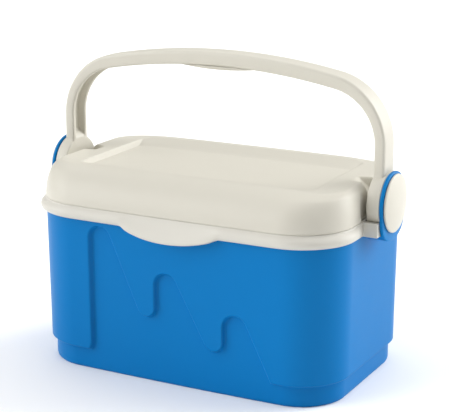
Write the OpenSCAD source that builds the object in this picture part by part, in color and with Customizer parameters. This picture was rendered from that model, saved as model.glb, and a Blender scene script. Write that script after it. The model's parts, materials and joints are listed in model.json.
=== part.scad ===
// Small cooler chest: foam-filled tub, lift-off lid with a tray top, and a swinging carry handle.
// Millimetres. +X runs along the long side, -Y is the front, +Z is up.
// The origin is the centre of the base. Upright is the handle's rest position.

/* [Collar and seam] */
// Half length over the collar's lower edge
collar_x = 186; // [184:0.5:188]
// Half depth over the collar's lower edge, midway along the long side
collar_y = 122; // [120:0.5:124]
// Plan corner radius of the collar
collar_r = 61; // [56:1:64]
// Height of the collar's flat top, where the lid rests
seam_z = 190; // [188:0.5:192]
// Height of the collar's outer face
collar_h = 15.5; // [14:0.5:17]
// How far the collar's face bulges past its lower edge
bead = 3.2; // [2:0.2:4]
// How far each long side bows out between its corners
bow = 3; // [0:0.5:4]

/* [Tub] */
// Wall thickness of every moulding
wall = 2.5; // [2:0.1:3]
// Inset of the shell below the collar
shell_inset = 4.5; // [4:0.25:5]
// How much further out the shell's ends stand than its sides do
end_out = 3.5; // [2:0.5:4]
// How much the shell narrows from its top to its shoulder
shell_draft = 1.8; // [1:0.2:3]
// Height of the shoulder above the base
shoulder_z = 26; // [22:1:30]
// Depth of the shoulder step and of the icicle relief
relief_d = 5; // [4:0.5:6]
// Inset of the inside of the tub at its mouth
mouth_inset = 25; // [24:0.5:26]
// Height of the inside floor
floor_z = 20; // [18:1:22]

/* [Finger scoops] */
// Half width of a scoop
scoop_w = 57; // [50:1:60]
// How far a scoop drops below the collar
scoop_drop = 11; // [8:1:12]
// How far a scoop's lip stands out
scoop_out = 9; // [6:1:10]

/* [Lid] */
// Height of the lid's crest above the seam
lid_h = 38.5; // [36:0.5:40]
// Width of the front and back rolls
roll_y = 41; // [38:1:43]
// Width of the end rolls
roll_x = 12; // [10:1:14]
// Half length of the tray floor
tray_x = 139; // [130:1:142]
// Half depth of the tray floor
tray_y = 60; // [55:1:62]
// Depth of the tray
tray_d = 8; // [6:0.5:8]
// Depth of the plug that enters the mouth
plug_h = 12; // [10:1:14]

/* [Handle] */
// Height of the pivot axis
pivot_z = 205; // [204:0.5:206]
// Half width over the handle's legs
handle_x = 199; // [198:0.5:200]
// Thickness of a leg
leg_t = 12; // [11:0.5:12]
// Half width of the bar, front to back
bar_w = 14.5; // [13:0.5:14.5]
// Height of the top of the handle
crown_z = 352; // [345:1:360]
// Thickness of the bar at its crown
bar_t = 15; // [14:0.5:15.5]
// Radius of the handle's round hubs
hub_r = 33; // [32:0.5:33]
// Radius of the pivot stems
stem_r = 9; // [8:0.5:10]
// Radius of the domed pivot caps
cap_r = 31.5; // [30:0.5:32]
// Half length of the grip
grip_x = 55; // [48:1:58]

/* [Hidden] */

slip = 0.1;                       // gap between nested mouldings
thin = 0.01;                      // thickness of a section inside a hull
through = 20;                     // how far cutting tools run past a face
collar_z = seam_z - collar_h;     // the collar's lower edge
shell_top = seam_z - wall;        // the shell ends under the collar's flange
skirt_inset = shell_inset + shell_draft + relief_d;   // base skirt, at the shoulder's height
recess_inset = shell_inset + relief_d;                // bottom of the relief, at the top
draft_in = 5;                     // how much the inside narrows from mouth to floor
liner_inset = mouth_inset - wall;
lid_inset = 1.4;                  // the lid's lower edge, inside the collar's lower edge
crest_z = seam_z + lid_h;
tray_z = crest_z - tray_d;
plug_gap = 1.5;                   // clearance of the plug in the mouth
roll_r = 34;                      // how much the lid's plan corners tighten from seam to crest
slope_x = 3;                      // run of the tray's sloping ends
slope_y = 21;                     // run of the tray's sloping sides
dish_x = 181;                     // bottom of the dish in the lid's end that clears a hub
dish_r = 36;                      // radius of that dish at its bottom
dish_slope = 1;                   // how much its radius grows per millimetre outwards
slot_x = 158;                     // inner end of the ramped slot beside a leg
slot_w = [8, 16];                 // half width of that slot at its inner end, and at its outer one
slot_z = 205;                     // height of the ramp's foot
hub_in = handle_x - leg_t;        // inner face of the legs and hubs
hub_out = handle_x + 2.5;         // outer face of the hubs
ear_in = hub_out + 0.5;           // the ears stand outside the hubs
ear_out = ear_in + 3.5;
cap_in = ear_out + 0.3;
cap_edge = 1.6;                   // thickness of a cap's rim
cap_h = 6.2;                      // height of a cap's dome
stem_in = hub_in + 2;             // inner end of the pivot stems
run_fit = 0.05;                   // radial clearance of a stem in its ear
seat_fit = 0.02;                  // radial clearance of a stem in its hub
ledge_in = collar_x + end_out - shell_inset + slip;   // inner end of the cradles, on the shell's face
saddle_r = hub_r + 0.4;
cradle_y = 36;                    // half width of the cradle under a hub
ear_r = 34;                       // radius of the ear plates
pod_r = 41;                       // radius of the pods that carry the ears
crown_r = 728;                    // radius of the bar's long arc
bend_r = 75;                      // radius of the handle's shoulders
bend_fill = 5;                    // how much tighter the shoulders' inner radius is
channel_w = 9;                    // half width of the channel inside the handle
channel_d = 8;                    // depth of that channel
swell = 5.5;                      // how far the grip's middle hangs below the bar
swell_r = 330;                    // radius of the grip's underside
lip_top = 0.72;                   // length of a scoop's lip at its outer edge, as a share of its mouth
lip_foot = 0.66;                  // the same at its lower edge
finger_r = 11;                    // radius of the finger hollow in a scoop's face

// Corners of the icicle relief's lower layer, as [x, z, rounding]
icicles = [[-125, 10, 0], [-125, 22, 0], [-103.5, 22, 12], [-103.5, 226, 14.5], [-21.7, 36.4, 10.4],
           [-21.7, 172, 14.5], [60, 18, 10.5], [60, 144.5, 15], [124.7, 10, 0]];

// ---------------------------------------------------------------- outlines

// Plan outline that lies inset inside the collar's: a rounded rectangle with bowed long sides
function collar_outline(inset) =
    outline(collar_x - inset, collar_y - inset, collar_r - 0.8 * max(inset, 0));

// The same for the shell, whose ends stand further out
function shell_outline(inset) =
    outline(collar_x + end_out - inset, collar_y - inset, collar_r - 0.8 * max(inset, 0));

function bowed(p, hx, hy) = [p[0], p[1] * (1 - bow / hy * pow(p[0] / hx, 2))];

function outline(hx, hy, r) =
    let (turns = [[1, 1, 0], [-1, 1, 90], [-1, -1, 180], [1, -1, 270]])
    [for (t = turns) each concat(
        [for (a = [0:11.25:90])
            bowed([t[0] * (hx - r) + r * cos(a + t[2]), t[1] * (hy - r) + r * sin(a + t[2])], hx, hy)],
        [for (k = [1:4]) if (t[2] == 0 || t[2] == 180)
            bowed([t[0] * (hx - r) * (1 - 0.4 * k), t[1] * hy], hx, hy)])];

// A closed outline with its corners rounded: each corner is [x, y, radius]
function rounded(c) =
    [for (i = [0:len(c) - 1])
        each corner(c[i], c[(i + len(c) - 1) % len(c)], c[(i + 1) % len(c)])];

function unit(v) = v / norm(v);

function corner(p, before, after) =
    let (at = [p[0], p[1]],
         u = unit([before[0], before[1]] - at),
         v = unit([after[0], after[1]] - at),
         half = acos(u * v) / 2,
         centre = at + unit(u + v) * p[2] / sin(half),
         from = at + u * p[2] / tan(half) - centre,
         to = at + v * p[2] / tan(half) - centre,
         a = atan2(from[1], from[0]),
         sweep = ((atan2(to[1], to[0]) - a + 540) % 360) - 180)
    p[2] == 0 ? [at] : [for (k = [0:8]) centre + p[2] * [cos(a + sweep * k / 8), sin(a + sweep * k / 8)]];

// Right half of an arch, from its crown down to the leg: a long arc, then a tangent bend
function half_arch(hx, top, bend) =
    let (bx = hx - bend,
         crown_c = top - crown_r,
         bend_c = crown_c + sqrt(pow(crown_r - bend, 2) - bx * bx),
         meet = atan2(bx, bend_c - crown_c))
    concat([for (k = [0:8]) [crown_r * sin(meet * k / 8), crown_c + crown_r * cos(meet * k / 8)]],
           [for (k = [1:10]) let (a = meet + (90 - meet) * k / 10) [bx + bend * sin(a), bend_c + bend * cos(a)]],
           [[hx, pivot_z]]);

function mirrored(p) = [for (i = [len(p) - 1:-1:1]) [-p[i][0], p[i][1]]];

function arch(hx, top, bend) = concat(mirrored(half_arch(hx, top, bend)), half_arch(hx, top, bend));

// Solid between levels, each given as [z, outline]
module loft(levels) {
    hull() for (s = levels) translate([0, 0, s[0]]) linear_extrude(thin) polygon(s[1]);
}

module both_ends() {
    children();
    rotate([0, 0, 180]) children();
}

// Round bar along +X, from x0 to x1 on the pivot axis
module axle(x0, x1, r) {
    translate([x0, 0, pivot_z]) rotate([0, 90, 0]) cylinder(h = x1 - x0, r = r, $fn = 96);
}

// Extrudes an outline drawn in the XZ plane over y0 to y1
module slab(y0, y1) {
    translate([0, y1, 0]) rotate([90, 0, 0]) linear_extrude(y1 - y0) children();
}

// ---------------------------------------------------------------- outer shell

// The tub below and between the icicles, from its rounded foot up
module skirt_core(inset) {
    loft([[inset, shell_outline(skirt_inset + 2.5 + inset)],
          [inset + 0.8, shell_outline(skirt_inset + 1.2 + inset)],
          [inset + 3, shell_outline(skirt_inset + 0.3 + inset)],
          [inset + 6, shell_outline(skirt_inset + inset)],
          [shell_top - thin + inset, shell_outline(recess_inset + inset)]]);
}

module raised_layer() {
    difference() {
        loft([[shoulder_z - 2.5, shell_outline(skirt_inset)],
              [shoulder_z + 2, shell_outline(shell_inset + shell_draft)],
              [shell_top - thin, shell_outline(shell_inset)]]);
        both_ends() slab(-collar_y - through, -collar_y / 2) polygon(rounded(icicles));
    }
}

// Half-round bracket on the end wall, with the ear plate that holds a pivot stem
module pod() {
    difference() {
        union() {
            difference() {
                axle(collar_x - 8, ear_out, pod_r);
                translate([0, -pod_r - 1, collar_z - slip]) cube([ear_out + 1, 2 * pod_r + 2, 2 * pod_r]);
            }
            axle(ear_in, ear_out, ear_r);
            translate([ear_in, -ear_r, collar_z - 3]) cube([ear_out - ear_in, 2 * ear_r, pivot_z - collar_z + 3]);
        }
        axle(ear_in - 1, ear_out + 1, stem_r + run_fit);
        axle(hub_in - 1, ear_in, saddle_r);
    }
}

module outer_shell() {
    color([0.16, 0.5, 0.76]) {
        difference() {
            union() {
                skirt_core(0);
                raised_layer();
            }
            skirt_core(wall);
        }
        both_ends() pod();
    }
}

module shell_insulation() {
    color([0.93, 0.93, 0.9]) difference() {
        intersection() {
            skirt_core(wall + slip);
            translate([-collar_x, -collar_y, 0]) cube([2 * collar_x, 2 * collar_y, shell_top]);
        }
        loft([[floor_z - wall - slip, collar_outline(liner_inset + draft_in - slip)],
              [seam_z, collar_outline(liner_inset - slip)]]);
    }
}

// ---------------------------------------------------------------- inner liner

module collar_solid() {
    loft([[collar_z, collar_outline(0)], [collar_z + 2, collar_outline(-0.6 * bead)],
          [collar_z + 0.4 * collar_h, collar_outline(-bead)], [collar_z + 0.65 * collar_h, collar_outline(-bead)],
          [seam_z - 3, collar_outline(-0.4 * bead)], [seam_z - thin, collar_outline(lid_inset)]]);
}

// Lip of a finger scoop, with a hollow for the fingertips below the seam
module scoop() {
    lip = collar_y + scoop_out;
    difference() {
        hull() {
            translate([-scoop_w, -collar_y - 1, seam_z - 5]) cube([2 * scoop_w, 4, 4]);
            translate([-scoop_w * lip_top, -lip, collar_z - scoop_drop + 4])
                cube([2 * scoop_w * lip_top, 12, 2]);
            translate([-scoop_w * lip_foot, -lip + 3, collar_z - scoop_drop])
                cube([2 * scoop_w * lip_foot, 6, 2]);
        }
        translate([0, -lip - 2, seam_z - 4]) rotate([0, 90, 0])
            cylinder(h = scoop_w * 1.3, r = finger_r, center = true, $fn = 48);
    }
}

// Ledge on the collar's end, with a saddle that the hub turns in
module cradle() {
    difference() {
        translate([ledge_in, -cradle_y, collar_z])
            cube([hub_out - ledge_in, 2 * cradle_y, collar_h - 0.2]);
        axle(hub_in - 0.4, ear_in, saddle_r);
    }
}

module inner_liner() {
    color([0.93, 0.92, 0.87]) difference() {
        union() {
            difference() {
                union() {
                    collar_solid();
                    both_ends() scoop();
                }
                loft([[0, shell_outline(shell_inset + shell_draft - slip)],
                      [shell_top, shell_outline(shell_inset - slip)]]);
                both_ends() translate([hub_in - 0.4, -cradle_y, collar_z - 1])
                    cube([through, 2 * cradle_y, collar_h + 2]);
            }
            loft([[floor_z - wall, collar_outline(liner_inset + draft_in + 4)],
                  [floor_z - wall + 4, collar_outline(liner_inset + draft_in)],
                  [seam_z - 0.5, collar_outline(liner_inset)]]);
            both_ends() cradle();
        }
        loft([[floor_z, collar_outline(mouth_inset + draft_in + 3)],
              [floor_z + 4, collar_outline(mouth_inset + draft_in)], [seam_z + 1, collar_outline(mouth_inset)]]);
    }
}

// ---------------------------------------------------------------- lid

function lid_outline(a, inset) =
    outline(collar_x - lid_inset - roll_x * (1 - cos(a)) - inset,
            collar_y - lid_inset / 2 - roll_y * (1 - cos(a)) - inset,
            collar_r - roll_r * (1 - cos(a)) - inset / 2);

module dome(inset) {
    loft([for (a = [0:10:90])
        let (below = (a == 0 && inset > 0 ? 1 : 0) + (a == 90 ? thin : 0))
        [seam_z + (lid_h - inset) * sin(a) - below, lid_outline(a, inset)]]);
}

module tray(grow) {
    loft([[tray_z - grow, outline(tray_x + grow, tray_y + grow, 8)],
          [crest_z + 0.5, outline(tray_x + slope_x + grow, tray_y + slope_y + grow, 12)],
          [crest_z + through, outline(tray_x + slope_x + grow, tray_y + slope_y + grow, 12)]]);
}

// Relief in the lid's end: a shallow dish round the pivot axis, and a slot that ramps down beside the leg
module notch(grow) {
    x1 = collar_x + 2;
    dish_out = dish_r + grow + dish_slope * (x1 - dish_x);
    translate([dish_x - grow, 0, pivot_z]) rotate([0, 90, 0])
        cylinder(h = x1 - dish_x + grow, r1 = dish_r + grow, r2 = dish_out + grow, $fn = 96);
    hull() {
        translate([slot_x - grow, -slot_w[0] - grow, crest_z - grow])
            cube([thin, 2 * (slot_w[0] + grow), through]);
        translate([x1, -slot_w[1] - grow, slot_z - grow])
            cube([thin, 2 * (slot_w[1] + grow), crest_z - slot_z + through]);
    }
}

module lid_cover() {
    color([0.94, 0.93, 0.88]) difference() {
        dome(0);
        tray(0);
        both_ends() notch(0);
        difference() {
            dome(wall);
            tray(wall);
            both_ends() notch(wall);
        }
        translate([0, 0, seam_z - 1]) linear_extrude(wall + slip + 1) polygon(lid_outline(0, wall));
    }
}

module lid_insulation() {
    color([0.95, 0.95, 0.93]) {
        difference() {
            dome(wall + slip);
            tray(wall + slip);
            both_ends() notch(wall + slip);
            translate([-collar_x, -collar_y, seam_z - plug_h]) cube([2 * collar_x, 2 * collar_y, plug_h + wall]);
        }
        translate([0, 0, seam_z - plug_h + wall])
            linear_extrude(plug_h) polygon(collar_outline(mouth_inset + plug_gap + wall + slip));
    }
}

module lid_liner() {
    color([0.92, 0.92, 0.9]) difference() {
        union() {
            translate([0, 0, seam_z]) linear_extrude(wall) polygon(lid_outline(0, wall + slip));
            translate([0, 0, seam_z - plug_h])
                linear_extrude(plug_h + 1) polygon(collar_outline(mouth_inset + plug_gap));
        }
        translate([0, 0, seam_z - plug_h + wall])
            linear_extrude(plug_h + wall) polygon(collar_outline(mouth_inset + plug_gap + wall));
    }
}

// ---------------------------------------------------------------- handle

module bail_band(hx, top, bend, t_leg, t_bar, fill = 0) {
    difference() {
        polygon(arch(hx, top, bend));
        polygon(concat(arch(hx - t_leg, top - t_bar, bend - t_leg - fill), [[0, pivot_z - 1]]));
    }
}

module handle_bail() {
    color([0.94, 0.93, 0.88]) difference() {
        union() {
            difference() {
                slab(-bar_w, bar_w) bail_band(handle_x, crown_z, bend_r, leg_t, bar_t, bend_fill);
                intersection() {
                    slab(-channel_w, channel_w)
                        bail_band(handle_x - leg_t + channel_d, crown_z - bar_t + channel_d,
                                  bend_r - leg_t + channel_d, channel_d + 1, channel_d + 1);
                    translate([-handle_x, -bar_w, pivot_z + hub_r])
                        cube([2 * handle_x, 2 * bar_w, crown_z]);
                }
            }
            both_ends() axle(hub_in, hub_out, hub_r);
        }
        both_ends() axle(stem_in, hub_out + 1, stem_r + seat_fit);
    }
}

module grip_insert() {
    deep = channel_d - 0.5;
    color([0.94, 0.93, 0.88]) {
        slab(-channel_w + slip, channel_w - slip) intersection() {
            bail_band(hub_in + deep, crown_z - bar_t + deep, bend_r - leg_t + deep, deep, deep);
            translate([-grip_x, crown_z - 2 * bar_t]) square([2 * grip_x, 2 * bar_t]);
        }
        slab(-bar_w + 1.5, bar_w - 1.5) intersection() {
            polygon(arch(hub_in, crown_z - bar_t, bend_r - leg_t));
            translate([0, crown_z - bar_t - swell + swell_r]) circle(r = swell_r, $fn = 360);
            translate([-grip_x, crown_z - 2 * bar_t]) square([2 * grip_x, 2 * bar_t]);
        }
    }
}

module right_pivot_cap() {
    color([0.93, 0.92, 0.88]) translate([cap_in, 0, pivot_z]) rotate([0, 90, 0]) {
        rotate_extrude($fn = 96) polygon(concat([[0, 0]], [[cap_r, 0], [cap_r, cap_edge]],
            [for (k = [1:6]) [cap_r * cos(15 * k), cap_edge + (cap_h - cap_edge) * sin(15 * k)]]));
        translate([0, 0, stem_in + 0.5 - cap_in]) cylinder(h = cap_in - stem_in, r = stem_r, $fn = 96);
    }
}

module left_pivot_cap() {
    rotate([0, 0, 180]) right_pivot_cap();
}

outer_shell();
shell_insulation();
inner_liner();
lid_cover();
lid_insulation();
lid_liner();
handle_bail();
grip_insert();
left_pivot_cap();
right_pivot_cap();
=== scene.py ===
"""Looks of the cooler chest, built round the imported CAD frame.

Lengths are millimetres until a mesh is made.
"""

import json
import math

import bmesh
import bpy
import numpy as np
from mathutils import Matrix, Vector


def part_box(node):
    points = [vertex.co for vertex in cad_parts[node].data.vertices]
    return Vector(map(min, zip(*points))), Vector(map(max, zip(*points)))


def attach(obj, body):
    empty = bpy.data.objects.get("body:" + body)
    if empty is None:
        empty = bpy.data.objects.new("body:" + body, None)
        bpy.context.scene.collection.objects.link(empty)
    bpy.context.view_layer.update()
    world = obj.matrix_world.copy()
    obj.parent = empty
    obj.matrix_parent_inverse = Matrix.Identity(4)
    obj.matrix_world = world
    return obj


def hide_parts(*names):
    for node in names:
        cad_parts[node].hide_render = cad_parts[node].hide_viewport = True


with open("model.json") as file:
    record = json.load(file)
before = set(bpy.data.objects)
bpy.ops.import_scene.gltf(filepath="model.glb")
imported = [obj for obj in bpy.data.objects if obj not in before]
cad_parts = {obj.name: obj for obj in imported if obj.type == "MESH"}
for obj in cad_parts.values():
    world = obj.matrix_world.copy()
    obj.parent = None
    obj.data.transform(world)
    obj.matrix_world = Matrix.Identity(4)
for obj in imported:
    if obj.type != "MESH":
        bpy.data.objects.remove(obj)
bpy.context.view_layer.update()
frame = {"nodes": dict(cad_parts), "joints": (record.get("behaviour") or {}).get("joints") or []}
MM = 0.001


def lowest(node):
    """Lowest corner of a CAD node, in millimetres."""
    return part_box(node)[0] / MM


def highest(node):
    """Highest corner of a CAD node, in millimetres."""
    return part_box(node)[1] / MM


LID_HIGH = highest("lid_cover")
BAIL_HIGH = highest("handle_bail")
CAP_HIGH = highest("right_pivot_cap")
SHELL_HIGH = highest("outer_shell")
FOAM_HIGH = highest("shell_insulation")
GRIP_HIGH = highest("grip_insert")
PIVOT_Z = next(j for j in frame["joints"] if j["name"] == "handle_swing")["pos_m"][2] / MM

# Heights and plan sizes that the frame gives
SEAM_Z = lowest("lid_cover").z
CREST_Z = LID_HIGH.z
SHELL_TOP = FOAM_HIGH.z
WALL = SEAM_Z - SHELL_TOP
LID_INSET = 1.4
COLLAR_X = LID_HIGH.x + LID_INSET
COLLAR_Y = LID_HIGH.y + LID_INSET / 2
COLLAR_R = 61.0
BOW = 3.0

# Tub
COLLAR_H = 15.5
COLLAR_Z = SEAM_Z - COLLAR_H
BEAD = 3.2
SHELL_INSET = 4.5
END_OUT = 3.5
DRAFT = 1.8
RELIEF = 5.0
SHOULDER_Z = 26.0
SKIRT_INSET = SHELL_INSET + DRAFT + RELIEF
RECESS_INSET = SHELL_INSET + RELIEF
MOUTH_INSET = 25.0
FLOOR_Z = 20.0
DRAFT_IN = 5.0

# Finger scoops
SCOOP_W = 57.0
SCOOP_DROP = 10.8
SCOOP_OUT = 9.0

# Lid
ROLL_X = 12.0
ROLL_Y = 41.0
ROLL_R = 34.0                       # how much the plan corners tighten from seam to crest
TRAY_X = 139.0
TRAY_Y = 60.0
TRAY_DEPTH = 8.0
TRAY_Z = CREST_Z - TRAY_DEPTH
PLUG_INSET = MOUTH_INSET + 1.5
PLUG_H = 12.0

# Handle, hubs, ears and caps
HUB_OUT = BAIL_HIGH.x
HUB_WIDTH = 14.5
HUB_IN = HUB_OUT - HUB_WIDTH
HUB_R = 33.0
HUB_PROUD = 2.5                     # how far a hub stands out past its leg
LEG_X = HUB_OUT - HUB_PROUD
LEG_T = LEG_X - HUB_IN
BAR_W = GRIP_HIGH.y + 1.5                  # half width, front to back
BAR_T = 15.0
BEND_FILL = 5.0
FLARE_R = 3.0
CROWN_Z = BAIL_HIGH.z
CROWN_R = 728.0
BEND_R = 75.0
EAR_IN = HUB_OUT + 0.5
EAR_OUT = SHELL_HIGH.x
EAR_R = 34.0
POD_R = 41.0
SADDLE_R = HUB_R + 0.4
CRADLE_Y = 36.0
LEDGE_IN = COLLAR_X + END_OUT - SHELL_INSET + 0.1
CAP_IN = EAR_OUT + 0.3
CAP_OUT = CAP_HIGH.x
CAP_R = 31.5
STEM_R = 9.0


# ------------------------------------------------------------------ mesh tools


def smoothstep(low, high, value):
    t = np.clip((np.asarray(value, float) - low) / (high - low), 0, 1)
    return t * t * (3 - 2 * t)


def spaced(start, stop, step):
    """Evenly spaced values from start to stop, about step apart, ends included."""
    return np.linspace(start, stop, max(2, int(round(abs(stop - start) / step)) + 1))


class Columns:
    """Vertex columns round a rounded rectangle: each one's place on the core, and its outward direction."""

    def __init__(self, side_x, side_y, corner_steps):
        turns = np.linspace(0, math.pi / 2, corner_steps + 1)
        core, out = [], []
        corners = [(1, 1, 0), (-1, 1, 1), (-1, -1, 2), (1, -1, 3)]
        for cx, cy, quarter in corners:
            for a in turns + quarter * math.pi / 2:
                core.append((cx, cy))
                out.append((math.cos(a), math.sin(a)))
            along = side_x if quarter % 2 == 0 else side_y
            for s in along[1:-1]:
                core.append((s * cx, cy) if quarter % 2 == 0 else (cx, s * cy))
                out.append((0, cy) if quarter % 2 == 0 else (cx, 0))
        self.core, self.out = np.array(core, float), np.array(out, float)

    def ring(self, hx, hy, r, z):
        """One ring of points. Each size may be a number or an array with a value for every column."""
        x = self.core[:, 0] * (hx - r) + self.out[:, 0] * r
        y = self.core[:, 1] * (hy - r) + self.out[:, 1] * r
        y = y * (1 - BOW / hy * (x / hx) ** 2)
        return np.column_stack([x, y, np.broadcast_to(np.asarray(z, float), x.shape)])

    def collar(self, inset, z):
        """Ring at an inset inside the collar's lower edge."""
        inset = np.asarray(inset, float)
        return self.ring(COLLAR_X - inset, COLLAR_Y - inset, COLLAR_R - 0.8 * np.maximum(inset, 0), z)

    def shell(self, inset, z):
        """The same for the shell, whose ends stand further out."""
        inset = np.asarray(inset, float)
        r = COLLAR_R - 0.8 * np.maximum(inset, 0)
        return self.ring(COLLAR_X + END_OUT - inset, COLLAR_Y - inset, r, z)


def to_object(name, vertices, faces):
    """A smooth-shaded object from points in millimetres."""
    mesh = bpy.data.meshes.new(name)
    mesh.from_pydata((np.asarray(vertices, float) * MM).tolist(), [], faces)
    mesh.validate()
    mesh.shade_smooth()
    obj = bpy.data.objects.new(name, mesh)
    bpy.context.scene.collection.objects.link(obj)
    return obj


def grid_faces(rows, columns, loop_rows=False):
    """Quads of a grid whose columns close into rings, and whose rows may close too."""
    index = np.arange(rows * columns).reshape(rows, columns)
    below = index if loop_rows else index[:-1]
    above = np.roll(index, -1, 0) if loop_rows else index[1:]
    quads = np.stack([below, np.roll(below, -1, 1), np.roll(above, -1, 1), above], -1)
    return quads.reshape(-1, 4).tolist()


def loft(name, rings, closed_rows=False):
    """Skin over rings of points, capped at both ends unless the rows close into a loop."""
    rings = np.asarray(rings, float)
    rows, columns = rings.shape[:2]
    faces = grid_faces(rows, columns, closed_rows)
    if not closed_rows:
        faces.append(list(range(columns))[::-1])
        faces.append(list(range((rows - 1) * columns, rows * columns)))
    return to_object(name, rings.reshape(-1, 3), faces)


def join(name, objects):
    """One object from several."""
    for o in bpy.context.selected_objects:
        o.select_set(False)
    for o in objects:
        o.select_set(True)
    bpy.context.view_layer.objects.active = objects[0]
    bpy.ops.object.join()
    objects[0].name = name
    objects[0].data.name = name
    return objects[0]


def turned(obj, name):
    """A copy of obj turned half way round the vertical axis."""
    mesh = obj.data.copy()
    for v in mesh.vertices:
        v.co.x, v.co.y = -v.co.x, -v.co.y
    copy = bpy.data.objects.new(name, mesh)
    bpy.context.scene.collection.objects.link(copy)
    return copy


def clean(obj, distance):
    """Merges vertices closer than a distance in millimetres and drops faces with no area."""
    bm = bmesh.new()
    bm.from_mesh(obj.data)
    bmesh.ops.remove_doubles(bm, verts=bm.verts, dist=distance * MM)
    bmesh.ops.dissolve_degenerate(bm, edges=bm.edges, dist=distance * MM / 4)
    bmesh.ops.recalc_face_normals(bm, faces=bm.faces)
    bm.to_mesh(obj.data)
    bm.free()
    obj.data.shade_smooth()


def soften(obj, wanted, passes):
    """Rounds off the edges among the vertices that wanted(co) picks, by smoothing them."""
    bm = bmesh.new()
    bm.from_mesh(obj.data)
    picked = [v for v in bm.verts if wanted(v.co / MM)]
    for _ in range(passes):
        bmesh.ops.smooth_vert(bm, verts=picked, factor=0.5, use_axis_x=True, use_axis_y=True, use_axis_z=True)
    bm.to_mesh(obj.data)
    bm.free()
    obj.data.shade_smooth()


def bevelled(obj, width, segments=3, angle=40):
    """Applies a bevel to the sharp edges, and shades the result smooth."""
    modifier = obj.modifiers.new("bevel", "BEVEL")
    modifier.width = width * MM
    modifier.segments = segments
    modifier.limit_method = "ANGLE"
    modifier.angle_limit = math.radians(angle)
    modifier.harden_normals = True
    graph = bpy.context.evaluated_depsgraph_get()
    obj.data = bpy.data.meshes.new_from_object(obj.evaluated_get(graph))
    obj.modifiers.clear()
    obj.data.shade_smooth()
    return obj


def lathe(name, profile, steps=160):
    """Turns (x, radius) points round the pivot axis, and caps both ends."""
    turns = np.linspace(0, 2 * math.pi, steps, endpoint=False)
    rings = [np.column_stack([np.full(steps, x), r * np.cos(turns), PIVOT_Z + r * np.sin(turns)])
             for x, r in profile]
    return loft(name, rings)


def arc(cx, cy, r, start, stop, steps):
    """Points on an arc, angles in degrees."""
    a = np.radians(np.linspace(start, stop, steps + 1))
    return [(cx + r * math.cos(t), cy + r * math.sin(t)) for t in a]


def prism(name, outline, x0, x1):
    """Solid between two X positions, from an outline in the YZ plane that runs anticlockwise seen from +X."""
    n = len(outline)
    vertices = [(x, y, z) for x in (x0, x1) for y, z in outline]
    faces = [[i, (i + 1) % n, n + (i + 1) % n, n + i] for i in range(n)]
    faces += [list(range(n))[::-1], list(range(n, 2 * n))]
    obj = to_object(name, vertices, faces)
    clean(obj, 0.001)
    return obj


# ------------------------------------------------------------------ icicle relief

# Corners of the lower layer's outline, as x, z and rounding radius
ICICLES = [(-125, 10, 0), (-125, 22, 0), (-103.5, 22, 12), (-103.5, 226, 14.5), (-21.7, 36.4, 10.4),
           (-21.7, 172, 14.5), (60, 18, 10.5), (60, 144.5, 15), (124.7, 10, 0)]


def rounded_outline(corners, steps=14):
    """The closed outline with each corner replaced by its tangent arc."""
    points = []
    for i, (x, z, r) in enumerate(corners):
        at = np.array([x, z], float)
        if r == 0:
            points.append(at)
            continue
        u = np.array(corners[i - 1][:2], float) - at
        v = np.array(corners[(i + 1) % len(corners)][:2], float) - at
        u, v = u / np.linalg.norm(u), v / np.linalg.norm(v)
        half = math.acos(float(u @ v)) / 2
        middle = (u + v) / np.linalg.norm(u + v)
        centre = at + middle * r / math.sin(half)
        first, last = at + u * r / math.tan(half) - centre, at + v * r / math.tan(half) - centre
        a0 = math.atan2(first[1], first[0])
        sweep = (math.atan2(last[1], last[0]) - a0 + math.pi) % (2 * math.pi) - math.pi
        points += [centre + r * np.array([math.cos(a0 + sweep * k / steps), math.sin(a0 + sweep * k / steps)])
                   for k in range(steps + 1)]
    return np.array(points)


def signed_distance(x, z, outline):
    """Distance of points from a closed outline, negative inside it."""
    best = np.full(x.shape, 1e9)
    inside = np.zeros(x.shape, bool)
    for (ax, az), (bx, bz) in zip(outline, np.roll(outline, -1, 0)):
        ex, ez = bx - ax, bz - az
        t = np.clip(((x - ax) * ex + (z - az) * ez) / (ex * ex + ez * ez), 0, 1)
        best = np.minimum(best, np.hypot(x - ax - t * ex, z - az - t * ez))
        if ez:
            crosses = ((az > z) != (bz > z)) & (x < ax + (z - az) * ex / ez)
            inside ^= crosses
    return np.where(inside, -best, best)


# ------------------------------------------------------------------ tub


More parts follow.
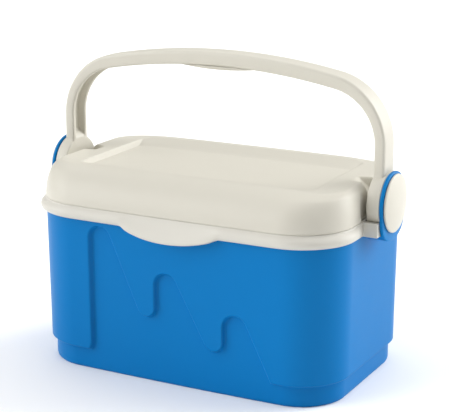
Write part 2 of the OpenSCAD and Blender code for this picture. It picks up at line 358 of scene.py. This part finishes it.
def shell_skin():
    """Outer shell as one closed skin: foot, relief wall, top edge and the inside."""
    straight_x = COLLAR_X - COLLAR_R
    columns = Columns(np.linspace(1, -1, int(2 * straight_x)), np.linspace(1, -1, 42), 44)
    outline = rounded_outline(ICICLES)
    side = np.where(columns.out[:, 1] < 0, 1, -1)      # the back carries the relief turned half way round
    faces_out = np.abs(columns.out[:, 1]) > 0.05
    rings = [columns.shell(SKIRT_INSET + 40, 0), columns.shell(SKIRT_INSET + 4, 0)]
    for a in np.radians(np.linspace(0, 90, 9)):
        rings.append(columns.shell(SKIRT_INSET + 2.5 * (1 - math.sin(a)), 5 * (1 - math.cos(a))))
    for z in np.concatenate([spaced(8, SHOULDER_Z - 5, 3), spaced(SHOULDER_Z - 4, COLLAR_Z + 4, 1)]):
        share = (z - SHOULDER_Z) / (SHELL_TOP - SHOULDER_Z)
        low = SKIRT_INSET + (RECESS_INSET - SKIRT_INSET) * max(share, 0)
        x = columns.shell(low, z)[:, 0] * side
        away = np.where(faces_out, signed_distance(x, np.full(x.shape, float(z)), outline), 99.0)
        away = np.minimum(away, z - SHOULDER_Z + 0.4)
        rings.append(columns.shell(low - RELIEF * smoothstep(-2.8, 0.2, away), z))
    top_low, top_high = SHELL_INSET, SHELL_TOP - 0.3
    rings += [columns.shell(top_low, top_high - 0.5), columns.shell(top_low + 0.5, top_high),
              columns.shell(RECESS_INSET + 1.5, top_high), columns.shell(RECESS_INSET + WALL, top_high - 1),
              columns.shell(SKIRT_INSET + WALL, 14), columns.shell(SKIRT_INSET + WALL + 6, WALL),
              columns.shell(SKIRT_INSET + WALL + 40, WALL)]
    return loft("shell_skin", rings)


def pod():
    """Bracket under a cradle, with the ear plate that the pivot stem turns in."""
    flat = COLLAR_Z - 0.1
    drop = PIVOT_Z - flat
    outer = math.degrees(math.asin(drop / POD_R))
    inner = math.degrees(math.asin(drop / SADDLE_R))
    outline = arc(0, PIVOT_Z, POD_R, 180 + outer, 360 - outer, 48)
    outline += arc(0, PIVOT_Z, SADDLE_R, -inner, -180 + inner, 24)
    bracket = bevelled(prism("pod_bracket", outline, COLLAR_X - 8, EAR_IN + 1), 1.2)
    turns = np.linspace(0, 2 * math.pi, 180, endpoint=False)
    down = smoothstep(0.25, 0.85, -np.sin(turns))
    reach = EAR_R + (POD_R - EAR_R) * down
    rings = []
    for x, radius in ((EAR_IN, STEM_R + 0.3), (EAR_IN, reach - 0.9),
                      (EAR_IN + 0.3, reach - 0.25), (EAR_IN + 0.9, reach),
                      (EAR_OUT - 0.9, reach), (EAR_OUT - 0.3, reach - 0.25), (EAR_OUT, reach - 0.9),
                      (EAR_OUT, STEM_R + 0.3)):
        rings.append(np.column_stack([np.full(turns.shape, x), radius * np.cos(turns),
                                      PIVOT_Z + radius * np.sin(turns)]))
    ear = loft("ear_plate", rings, closed_rows=True)
    return join("pod", [bracket, ear])


def outer_shell():
    right = pod()
    return join("outer_shell_skin", [shell_skin(), right, turned(right, "pod_left")])


def collar_skin():
    """Liner as one closed skin: back of the tub, flange, bead with its two scoops, mouth and inside."""
    columns = Columns(np.linspace(1, -1, 190), np.linspace(1, -1, 60), 30)
    x, y, _ = columns.ring(COLLAR_X, COLLAR_Y, COLLAR_R, 0).T
    facing = np.abs(columns.out[:, 1]) > 0.999
    across = np.clip(np.abs(x) / (1.06 * SCOOP_W), 0, 1)
    scoop = np.where(facing, (1 - across ** 2) * smoothstep(1, 0.8, across) ** 0.4, 0)
    dish = scoop ** 0.7
    plain_end = 1 - np.where(np.abs(columns.out[:, 0]) > 0.9, smoothstep(52, 38, np.abs(y)), 0)
    low_z = COLLAR_Z - SCOOP_DROP * scoop
    rings = [columns.collar(MOUTH_INSET - WALL + DRAFT_IN + 40, FLOOR_Z - WALL),
             columns.collar(MOUTH_INSET - WALL + DRAFT_IN + 5, FLOOR_Z - WALL),
             columns.collar(MOUTH_INSET - WALL + DRAFT_IN, FLOOR_Z - WALL + 4),
             columns.collar(MOUTH_INSET - WALL, SHELL_TOP - 1),
             columns.collar(MOUTH_INSET - WALL - 0.5, SHELL_TOP),
             columns.shell(SHELL_INSET + 0.5, SHELL_TOP), columns.shell(SHELL_INSET - 0.1, SHELL_TOP - 0.6),
             columns.shell(SHELL_INSET - 0.1, low_z + 1.2), columns.shell(SHELL_INSET - 0.6, low_z + 0.3)]
    for t in np.concatenate([[0, 0.02, 0.05], spaced(0.1, 0.9, 0.04), [0.94, 0.97, 0.99]]):
        edge = 1.6 * (1 - min(t / 0.12, 1)) ** 2          # rolls the lower edge under
        bead = BEAD * math.sin(math.pi * min(t * 1.08 + 0.04, 1)) ** 0.8 * plain_end - LID_INSET * t ** 3
        cup = SCOOP_OUT * (1 - t) ** 1.8 - LID_INSET * t ** 3
        out = (1 - dish) * bead + dish * cup - edge
        rings.append(columns.collar(-out, low_z + (SEAM_Z - low_z) * (0.035 + 0.95 * t)))
    rings += [columns.collar(LID_INSET + 0.5, SEAM_Z - 0.08), columns.collar(LID_INSET + 1.1, SEAM_Z),
              columns.collar(MOUTH_INSET - 1.6, SEAM_Z)]
    rings += [columns.collar(MOUTH_INSET - 1.6 + 1.6 * math.sin(a), SEAM_Z - 1.6 * (1 - math.cos(a)))
              for a in np.radians([25, 50, 75, 90])]
    rings += [columns.collar(MOUTH_INSET + DRAFT_IN * (SEAM_Z - z) / (SEAM_Z - FLOOR_Z), z)
              for z in spaced(SEAM_Z - 4, FLOOR_Z + 9, 12)]
    rings += [columns.collar(MOUTH_INSET + DRAFT_IN + 9 * (1 - math.cos(a)), FLOOR_Z + 9 * (1 - math.sin(a)))
              for a in np.radians([12, 30, 48, 66, 80, 90])]
    rings.append(columns.collar(MOUTH_INSET + DRAFT_IN + 30, FLOOR_Z))
    return loft("collar_skin", rings)


def cradle():
    """Ledge at an end of the collar: two shoulders with the hub's saddle between them."""
    top = SEAM_Z - 0.2
    mouth = math.degrees(math.asin((PIVOT_Z - top) / SADDLE_R))
    foot = math.degrees(math.asin((PIVOT_Z - COLLAR_Z) / SADDLE_R))
    outline = [(CRADLE_Y, COLLAR_Z), (CRADLE_Y, top)] + arc(0, PIVOT_Z, SADDLE_R, -mouth, -foot, 16)
    back = bevelled(prism("cradle_back", outline, LEDGE_IN, HUB_OUT), 1.0)
    mirrored = [(-y, z) for y, z in outline][::-1]
    front = bevelled(prism("cradle_front", mirrored, LEDGE_IN, HUB_OUT), 1.0)
    return join("cradle", [back, front])


def inner_liner():
    right = cradle()
    return join("inner_liner_skin", [collar_skin(), right, turned(right, "cradle_left")])


# ------------------------------------------------------------------ lid

DISH_X = 181.0
DISH_R = 36.0
SLOT_X = 158.0
SLOT_W = (8.0, 16.0)
SLOT_Z = 205.0
END_SAG = 1.8                       # how much lower the crest lies near its ends


def notched(points, grow=0.0, round_mm=0.7):
    """Moves the surface into the dish that clears a hub, and down on to the ramp of the slot beside a leg."""
    x, y, z = points.T
    far = np.abs(x)
    limit = DISH_X - grow + np.maximum(np.hypot(y, z - PIVOT_Z) - DISH_R - grow, 0)
    gap = np.clip((far - limit) / round_mm, -40, 40)
    held = np.where(far > 150, np.minimum(limit - round_mm * np.log1p(np.exp(-gap)), far), far)
    along = np.clip((held - SLOT_X) / (COLLAR_X + 2 - SLOT_X), 0, 1)
    half = SLOT_W[0] + (SLOT_W[1] - SLOT_W[0]) * along
    ramp = CREST_Z - (CREST_Z - SLOT_Z) * along - grow
    inside = smoothstep(half + 0.9 + grow, half - 0.7 + grow, np.abs(y)) * (held > SLOT_X - grow)
    z = np.where(z > ramp, z + (ramp - z) * inside, z)
    return np.column_stack([np.sign(x) * held, y, z])


def lid_ring(columns, a, inset=0.0, z=None):
    """Ring of the lid's roll at angle a: 0 at the seam, a quarter turn at the crest."""
    fall = 1 - math.cos(a)
    hx = COLLAR_X - LID_INSET - ROLL_X * fall - inset
    hy = COLLAR_Y - LID_INSET / 2 - ROLL_Y * fall - inset
    r = COLLAR_R - ROLL_R * fall - inset / 2
    level = SEAM_Z + (CREST_Z - SEAM_Z) * math.sin(a) if z is None else z
    return columns.ring(hx, hy, r, level)


def lid_cover():
    dense = np.concatenate([[1], spaced(0.78, -0.78, 1.0 / 58), [-1]])
    columns = Columns(np.linspace(1, -1, 92), dense, 30)
    rings = [lid_ring(columns, 0, 2.7, SEAM_Z + WALL + 0.2), lid_ring(columns, 0, 2.7, SEAM_Z + 0.2),
             lid_ring(columns, 0, 2.3, SEAM_Z + 0.02), lid_ring(columns, 0, 1.1, SEAM_Z + 0.02),
             lid_ring(columns, 0, 0.5, SEAM_Z + 0.12), lid_ring(columns, 0, 0.12, SEAM_Z + 0.5)]
    rings += [lid_ring(columns, a) for a in np.radians(np.concatenate([spaced(1.5, 84, 1.9), [86, 88, 90]]))]
    crest = lid_ring(columns, math.pi / 2)
    brim = columns.ring(TRAY_X + 4, TRAY_Y + 18.5, 13, CREST_Z)
    for t in spaced(0, 1, 1 / 20)[1:]:
        rings.append(crest + (brim - crest) * t)
    tray_top = columns.ring(TRAY_X + 2.6, TRAY_Y + 17.0, 12, CREST_Z - 0.7)
    tray_low = columns.ring(TRAY_X + 0.4, TRAY_Y + 1.6, 9, TRAY_Z + 0.6)
    for t in spaced(0, 1, 1 / 8):
        rings.append(tray_top + (tray_low - tray_top) * t)
    rings += [columns.ring(TRAY_X - 0.5, TRAY_Y - 0.3, 8.5, TRAY_Z + 0.1),
              columns.ring(TRAY_X - 2.5, TRAY_Y - 2.5, 7.5, TRAY_Z),
              columns.ring(TRAY_X - 25, TRAY_Y - 25, 5, TRAY_Z)]
    for i, ring in enumerate(rings):
        near_end = smoothstep(105, 165, np.abs(ring[:, 0]))
        near_top = smoothstep(CREST_Z - 8, CREST_Z - 1, ring[:, 2])
        sag = END_SAG * near_end * near_top
        ring[:, 2] -= sag
        rings[i] = notched(ring, 2.5 if i < 2 else 0.0)
    cover = loft("lid_cover_skin", rings)
    clean(cover, 0.12)
    soften(cover, lambda p: abs(p.x) > 155 and abs(p.y) < 44 and p.z > SEAM_Z + 2, 1)
    soften(cover, lambda p: p.z > CREST_Z - 3.4 and abs(p.y) > 62, 1)
    return cover


def lid_liner():
    """Pan under the lid, with its shallow plug."""
    columns = Columns(np.linspace(1, -1, 60), np.linspace(1, -1, 30), 24)
    top = SEAM_Z + WALL
    plug = SEAM_Z - PLUG_H
    rings = [columns.collar(PLUG_INSET + 26, plug + 3)]
    rings += [columns.collar(PLUG_INSET + 22, plug + 3), columns.collar(PLUG_INSET + 17, plug + 2.2),
              columns.collar(PLUG_INSET + 14, plug + 0.3), columns.collar(PLUG_INSET + 12.5, plug),
              columns.collar(PLUG_INSET + 4, plug)]
    rings += [columns.collar(PLUG_INSET + 3.5 * (1 - math.sin(a)), plug + 3.5 * (1 - math.cos(a)))
              for a in np.radians([15, 35, 55, 75, 90])]
    rings += [columns.collar(PLUG_INSET - 0.2, SEAM_Z - 1.2), columns.collar(PLUG_INSET - 1.2, SEAM_Z + 0.03)]
    rings += [lid_ring(columns, 0, 3.2, SEAM_Z + 0.03), lid_ring(columns, 0, 2.8, SEAM_Z + 0.4),
              lid_ring(columns, 0, 2.8, top - 0.3), lid_ring(columns, 0, 3.1, top),
              lid_ring(columns, 0, 30, top)]
    return loft("lid_liner_skin", rings)


# ------------------------------------------------------------------ handle


def half_arch(hx, top, bend, steps_crown, steps_bend, leg_z):
    """Right half of an arch in the XZ plane: leg, tangent bend, long crown arc. Leg first."""
    bx = hx - bend
    crown_c = top - CROWN_R
    bend_c = crown_c + math.sqrt((CROWN_R - bend) ** 2 - bx * bx)
    meet = math.atan2(bx, bend_c - crown_c)
    share = (np.asarray(leg_z) - leg_z[0]) / (leg_z[-1] - leg_z[0])
    leg = [(hx, leg_z[0] + (bend_c - leg_z[0]) * s) for s in share[:-1]]
    turn = [(bx + bend * math.sin(a), bend_c + bend * math.cos(a))
            for a in np.linspace(math.pi / 2, meet, steps_bend)]
    crown = [(CROWN_R * math.sin(a), crown_c + CROWN_R * math.cos(a))
             for a in np.linspace(meet, 0, steps_crown)[1:]]
    return np.array(leg + turn + crown)


def bail_profile(width, channel):
    """Section of the bail as (depth, y): depth is 0 on the inside face and 1 on the outside."""
    w, c = width, 9.0
    floor = 0.62 * channel
    half = [(1.0, 0.0), (1.0, 0.3 * w), (0.995, 0.55 * w)]
    edge_r = 3.6
    half += [(0.985 - 0.25 * (1 - math.cos(a)), w - edge_r + edge_r * math.sin(a))
             for a in np.radians([0, 18, 36, 54, 72, 90])]
    half += [(0.45, w), (0.16, w), (0.07, w - 0.35), (0.02, w - 0.95), (0.0, w - 1.8)]
    lip = [(0.0, c + 1.1), (0.02 * channel, c + 0.5), (0.10 * channel, c), (floor - 0.2 * channel, c - 0.3),
           (floor - 0.07 * channel, c - 1.0), (floor - 0.01 * channel, c - 2.4),
           (floor, c - 4.0), (floor, 0.0)]
    half += lip
    return half + [(d, -y) for d, y in half[-2:0:-1]]


def handle_bail():
    leg_z = spaced(PIVOT_Z + 4, PIVOT_Z + 58, 1.5)
    outer = half_arch(LEG_X, CROWN_Z, BEND_R, 60, 44, leg_z)
    inner = half_arch(HUB_IN, CROWN_Z - BAR_T, BEND_R - LEG_T - BEND_FILL, 60, 44, leg_z)
    outer = np.vstack([outer, (outer * (-1, 1))[-2::-1]])
    inner = np.vstack([inner, (inner * (-1, 1))[-2::-1]])
    flare_y = BAR_W + FLARE_R
    flare_z = PIVOT_Z + math.sqrt((HUB_R + FLARE_R) ** 2 - flare_y ** 2)
    meet_z = PIVOT_Z + (flare_z - PIVOT_Z) * HUB_R / (HUB_R + FLARE_R)
    rings = []
    for (ox, oz), (ix, iz) in zip(outer, inner):
        level = max(iz, meet_z)
        width = BAR_W
        if level < flare_z:
            width = flare_y - math.sqrt(FLARE_R ** 2 - min(FLARE_R, flare_z - level) ** 2)
        if iz < meet_z:
            width = min(width, math.sqrt(max(HUB_R ** 2 - (iz - PIVOT_Z) ** 2, 0)) - 0.2)
        channel = float(smoothstep(PIVOT_Z + HUB_R - 2, PIVOT_Z + HUB_R + 9, iz))
        ring = [(ix + (ox - ix) * d, y, iz + (oz - iz) * d) for d, y in bail_profile(width, channel)]
        rings.append(ring)
    bail = loft("bail_arch", rings)
    clean(bail, 0.005)
    hub_profile = [(HUB_IN - 0.1, STEM_R), (HUB_IN - 0.1, HUB_R - 1.6)]
    hub_profile += [(HUB_IN + 1.5 - r * 1.6, HUB_R - 1.6 + 1.6 * s) for s, r in
                    ((math.sin(a), math.cos(a)) for a in np.radians([22, 45, 67, 90]))]
    hub_profile += [(HUB_OUT - 1.2, HUB_R), (HUB_OUT - 0.35, HUB_R - 0.35), (HUB_OUT, HUB_R - 1.2),
                    (HUB_OUT, STEM_R)]
    hub = lathe("hub_right", hub_profile)
    clean(hub, 0.001)
    return join("handle_bail_skin", [bail, hub, turned(hub, "hub_left")])


def grip_insert():
    """Grip that fills the channel in the middle of the bail and swells below it."""
    half = GRIP_HIGH.x
    swell, swell_r = 5.5, 330.0
    low = CROWN_Z - BAR_T - swell
    turns = np.linspace(0, 2 * math.pi, 56, endpoint=False)
    rings = []
    for x in spaced(half, -half, 1.5):
        under = CROWN_Z - BAR_T - CROWN_R + math.sqrt(CROWN_R ** 2 - x * x)
        bottom = low + swell_r - math.sqrt(swell_r ** 2 - x * x)
        top = under + 5.5
        end = smoothstep(half, half - 5, abs(x))
        proud = float(smoothstep(-1.2, 1.6, under - bottom))
        sunk = float(smoothstep(1.6, -1.2, under - bottom))
        width = (BAR_W - 1.7) * proud + 7.6 * sunk
        middle, tall = (top + bottom) / 2, (top - bottom) / 2
        power = 0.55
        y = width * np.sign(np.cos(turns)) * np.abs(np.cos(turns)) ** power * (0.9 + 0.1 * end)
        z = middle + tall * np.sign(np.sin(turns)) * np.abs(np.sin(turns)) ** 0.75 * (0.8 + 0.2 * end)
        y = np.where(z > under - 0.15, np.clip(y, -8.7, 8.7), y)
        rings.append(np.column_stack([np.full(turns.shape, x), y, z]))
    return loft("grip_insert_skin", rings)


def pivot_cap():
    """Domed cap with its stem, for the right-hand end."""
    side, rise = 2.4, CAP_OUT - CAP_IN
    profile = [(HUB_IN + 2.5, 0.0), (HUB_IN + 2.5, STEM_R - 0.6), (HUB_IN + 3.1, STEM_R), (CAP_IN, STEM_R),
               (CAP_IN, CAP_R - 1.0), (CAP_IN + 0.3, CAP_R - 0.3), (CAP_IN + 0.9, CAP_R),
               (CAP_IN + side - 0.9, CAP_R),
               (CAP_IN + side - 0.4, CAP_R - 0.15), (CAP_IN + side, CAP_R - 0.6)]
    for r in spaced(CAP_R - 1.4, 0, 1.2):
        profile.append((CAP_IN + side + (rise - side) * (1 - (r / (CAP_R - 0.6)) ** 2.4), r))
    cap = lathe("right_pivot_cap_skin", profile)
    clean(cap, 0.001)
    return cap


# ------------------------------------------------------------------ materials


def moulded(name, base, roughness, grain, edge_highlight_colour, sheen_shift, specular):
    """Moulded plastic: slight colour drift, fine mould grain, and a painted highlight that lightens the sharp
    edges, with a little edge wear.
    """
    material = bpy.data.materials.new(name)
    material.use_nodes = True
    tree = material.node_tree
    nodes, links = tree.nodes, tree.links
    shader = nodes["Principled BSDF"]
    shader.inputs["IOR"].default_value = 1.49
    shader.inputs["Specular IOR Level"].default_value = specular
    place = nodes.new("ShaderNodeTexCoord")
    cloud = nodes.new("ShaderNodeTexNoise")
    cloud.inputs["Scale"].default_value = 6.0
    cloud.inputs["Detail"].default_value = 3.0
    links.new(place.outputs["Object"], cloud.inputs["Vector"])
    drift = nodes.new("ShaderNodeMix")
    drift.data_type = "RGBA"
    darker = [c * (1 - sheen_shift) for c in base]
    lighter = [min(1, c * (1 + sheen_shift)) for c in base]
    drift.inputs["A"].default_value = (*darker, 1)
    drift.inputs["B"].default_value = (*lighter, 1)
    links.new(cloud.outputs["Fac"], drift.inputs["Factor"])
    # Painted highlight: where Pointiness finds a sharp edge, the colour is mixed towards a lighter edge
    # colour. This stands in for light caught on rounded edges, and partly for edge wear.
    shape = nodes.new("ShaderNodeNewGeometry")
    ridge = nodes.new("ShaderNodeMapRange")
    ridge.inputs["From Min"].default_value = 0.53
    ridge.inputs["From Max"].default_value = 0.64
    ridge.inputs["To Max"].default_value = 0.45
    links.new(shape.outputs["Pointiness"], ridge.inputs["Value"])
    edge_highlight_and_wear = nodes.new("ShaderNodeMix")
    edge_highlight_and_wear.data_type = "RGBA"
    edge_highlight_and_wear.inputs["B"].default_value = (*edge_highlight_colour, 1)
    links.new(ridge.outputs["Result"], edge_highlight_and_wear.inputs["Factor"])
    links.new(drift.outputs["Result"], edge_highlight_and_wear.inputs["A"])
    links.new(edge_highlight_and_wear.outputs["Result"], shader.inputs["Base Color"])
    smear = nodes.new("ShaderNodeTexNoise")
    smear.inputs["Scale"].default_value = 22.0
    smear.inputs["Detail"].default_value = 5.0
    links.new(place.outputs["Object"], smear.inputs["Vector"])
    gloss = nodes.new("ShaderNodeMapRange")
    gloss.inputs["To Min"].default_value = roughness - 0.04
    gloss.inputs["To Max"].default_value = roughness + 0.05
    links.new(smear.outputs["Fac"], gloss.inputs["Value"])
    links.new(gloss.outputs["Result"], shader.inputs["Roughness"])
    fine = nodes.new("ShaderNodeTexNoise")
    fine.inputs["Scale"].default_value = 1400.0
    fine.inputs["Detail"].default_value = 2.0
    links.new(place.outputs["Object"], fine.inputs["Vector"])
    bump = nodes.new("ShaderNodeBump")
    bump.inputs["Strength"].default_value = grain
    bump.inputs["Distance"].default_value = 0.0002
    links.new(fine.outputs["Fac"], bump.inputs["Height"])
    links.new(bump.outputs["Normal"], shader.inputs["Normal"])
    return material


def foam_beads(name):
    """Expanded foam: a pattern of packed beads, with painted shade darkening each bead towards the gaps
    between them.
    """
    material = bpy.data.materials.new(name)
    material.use_nodes = True
    nodes, links = material.node_tree.nodes, material.node_tree.links
    shader = nodes["Principled BSDF"]
    shader.inputs["Roughness"].default_value = 0.85
    place = nodes.new("ShaderNodeTexCoord")
    beads = nodes.new("ShaderNodeTexVoronoi")
    beads.inputs["Scale"].default_value = 280.0
    links.new(place.outputs["Object"], beads.inputs["Vector"])
    # Painted shade: the colour darkens from each bead's middle towards the gaps, where shade falls between
    # beads. The bump below gives the beads their shape.
    painted_gap_shade = nodes.new("ShaderNodeMapRange")
    painted_gap_shade.inputs["From Max"].default_value = 0.6
    links.new(beads.outputs["Distance"], painted_gap_shade.inputs["Value"])
    mix = nodes.new("ShaderNodeMix")
    mix.data_type = "RGBA"
    mix.inputs["A"].default_value = (0.9, 0.9, 0.88, 1)
    mix.inputs["B"].default_value = (0.72, 0.72, 0.7, 1)
    links.new(painted_gap_shade.outputs["Result"], mix.inputs["Factor"])
    links.new(mix.outputs["Result"], shader.inputs["Base Color"])
    bump = nodes.new("ShaderNodeBump")
    bump.invert = True
    bump.inputs["Strength"].default_value = 0.5
    bump.inputs["Distance"].default_value = 0.0006
    links.new(beads.outputs["Distance"], bump.inputs["Height"])
    links.new(bump.outputs["Normal"], shader.inputs["Normal"])
    return material


def dress(obj, material):
    obj.data.materials.clear()
    obj.data.materials.append(material)


# ------------------------------------------------------------------ studio


# Metres for the camera. A lamp is its name, azimuth from the front towards +X, elevation,
# strength and angular size.
FLOOR_PAINT = 0.95
SKY_STRENGTH = 0.12
CAMERA_AT = (0.7389, -1.3964, 0.5966)
CAMERA_TOWARDS = (-0.45011, 0.85515, -0.25713)
CAMERA_LENS = 116.4
LAMPS = [("left", -50, 25, 2.3, 50), ("right", 138, 22, 3.2, 50), ("top", 180, 75, 2.2, 100)]


def studio():
    """Pale floor, soft lights and the camera at the reference angle."""
    bpy.ops.mesh.primitive_plane_add(size=30, location=(0, 0, 0))
    floor = bpy.context.object
    floor.name = "floor"
    paint = bpy.data.materials.new("floor_paint")
    paint.use_nodes = True
    paint.node_tree.nodes["Principled BSDF"].inputs["Base Color"].default_value = (FLOOR_PAINT,) * 3 + (1,)
    paint.node_tree.nodes["Principled BSDF"].inputs["Roughness"].default_value = 0.9
    floor.data.materials.append(paint)
    world = bpy.data.worlds.new("studio")
    world.use_nodes = True
    world.node_tree.nodes["Background"].inputs["Color"].default_value = (1, 1, 1, 1)
    world.node_tree.nodes["Background"].inputs["Strength"].default_value = SKY_STRENGTH
    bpy.context.scene.world = world
    bpy.context.scene.view_settings.view_transform = "Standard"
    for name, azimuth, elevation, strength, spread in LAMPS:
        lamp = bpy.data.lights.new(name, "SUN")
        lamp.energy = strength
        lamp.angle = math.radians(spread)
        obj = bpy.data.objects.new(name, lamp)
        bpy.context.scene.collection.objects.link(obj)
        turn, lift = math.radians(azimuth), math.radians(elevation)
        away = Vector((math.sin(turn) * math.cos(lift), -math.cos(turn) * math.cos(lift), math.sin(lift)))
        obj.location = away * 2
        obj.rotation_euler = (-away).to_track_quat("-Z", "Y").to_euler()
    camera = bpy.data.cameras.new("camera")
    camera.sensor_width = 36
    camera.lens = CAMERA_LENS
    view = bpy.data.objects.new("camera", camera)
    bpy.context.scene.collection.objects.link(view)
    view.location = CAMERA_AT
    view.rotation_euler = Vector(CAMERA_TOWARDS).to_track_quat("-Z", "Y").to_euler()
    bpy.context.scene.camera = view


# ------------------------------------------------------------------ assembly

studio()
# The fourth value of each material is the lighter colour of its painted edge highlight, which is partly also
# edge wear.
blue = moulded("blue_plastic", (0.0, 0.165, 0.455), 0.38, 0.12, (0.02, 0.26, 0.58),
               sheen_shift=0.03, specular=0.1)
white = moulded("white_plastic", (0.585, 0.562, 0.49), 0.4, 0.10, (0.64, 0.62, 0.56),
                sheen_shift=0.012, specular=0.3)
liner = moulded("liner_plastic", (0.60, 0.582, 0.525), 0.42, 0.12, (0.65, 0.64, 0.59),
                sheen_shift=0.015, specular=0.3)
foam = foam_beads("foam_beads")

cap = pivot_cap()
left_cap = turned(cap, "left_pivot_cap_skin")
PIECES = [
    (outer_shell(), "tub", "outer_shell", "blue_shell", blue),
    (inner_liner(), "tub", "inner_liner", "white_liner", liner),
    (lid_cover(), "lid", "lid_cover", "white_trim", white),
    (lid_liner(), "lid", "lid_liner", "white_liner", liner),
    (handle_bail(), "handle", "handle_bail", "white_trim", white),
    (grip_insert(), "handle", "grip_insert", "white_trim", white),
    (cap, "handle", "right_pivot_cap", "white_trim", white),
    (left_cap, "handle", "left_pivot_cap", "white_trim", white),
]
for piece, body, node, slot, material in PIECES:
    dress(piece, material)
    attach(piece, body)
    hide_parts(node)
for node in ("shell_insulation", "lid_insulation"):
    dress(frame["nodes"][node], foam)
